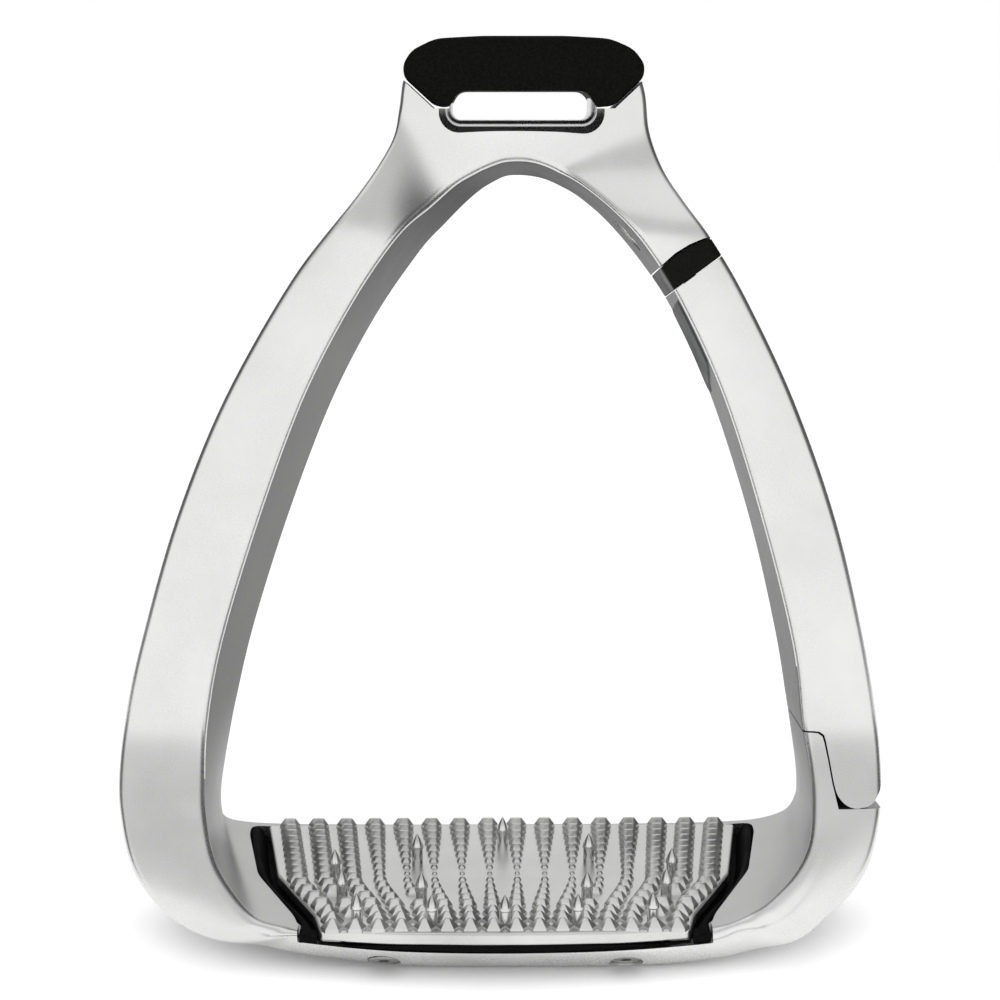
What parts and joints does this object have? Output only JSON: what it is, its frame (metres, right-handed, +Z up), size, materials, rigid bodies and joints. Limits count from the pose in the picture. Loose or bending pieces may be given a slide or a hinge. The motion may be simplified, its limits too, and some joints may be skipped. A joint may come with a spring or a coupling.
{
  "type": "safety stirrup iron",
  "caption": "Metal safety stirrup iron with a hinged outer release branch, latch collar, padded leather slot and toothed, studded tread on a rubber bed.",
  "frame": {"origin": "middle of the flat base under the bed", "axes": "+X towards the hinged release branch, +Y towards the rear, +Z up from the bed to the eye; the branches lean back 9 degrees towards +Y"},
  "size_m": [0.1415, 0.0655, 0.1677],
  "materials": {
    "alloy": "polished with satin inner faces",
    "arm_alloy": "polished with satin inner faces",
    "pad_rubber": "matte moulded",
    "collar_polymer": "matte moulded",
    "striker_polymer": "satin moulded",
    "tread_rubber": "matte moulded",
    "stainless": "pressed and polished",
    "stud_steel": "turned",
    "fastener_steel": "satin"
  },
  "bodies": {
    "frame": {"frame_body": "alloy", "eye_pad": "pad_rubber", "latch_collar": "collar_polymer", "collar_screw": "fastener_steel", "plunger_spring": "fastener_steel", "hinge_pin": "fastener_steel", "tread_rubber": "tread_rubber", "tread_plate": "stainless", "tread_stud_01": "stud_steel", "tread_stud_02": "stud_steel", "tread_stud_03": "stud_steel", "tread_stud_04": "stud_steel", "tread_stud_05": "stud_steel", "tread_stud_06": "stud_steel", "tread_stud_07": "stud_steel", "tread_stud_08": "stud_steel", "tread_stud_09": "stud_steel", "tread_stud_10": "stud_steel", "tread_stud_11": "stud_steel", "tread_stud_12": "stud_steel", "tread_stud_13": "stud_steel", "tread_stud_14": "stud_steel", "tread_screw_left": "fastener_steel", "tread_screw_right": "fastener_steel"},
    "arm": {"release_arm": "arm_alloy", "arm_striker": "striker_polymer"},
    "catch": {"catch_plunger": "fastener_steel"}
  },
  "joints": [
    {"name": "arm_swing", "type": "hinge", "parent": "frame", "child": "arm", "pos_m": [0.0652, 0.00299, 0.02889], "axis": [0, 0.9877, -0.1564], "range_deg": [0, 55]},
    {"name": "catch_slide", "type": "slide", "parent": "frame", "child": "catch", "axis": [-0.53, 0.1327, 0.8376], "range_m": [0, 0.0013], "stiffness_N_per_m": 1200, "springref_m": -0.002, "deforming": ["plunger_spring"]}
  ]
}
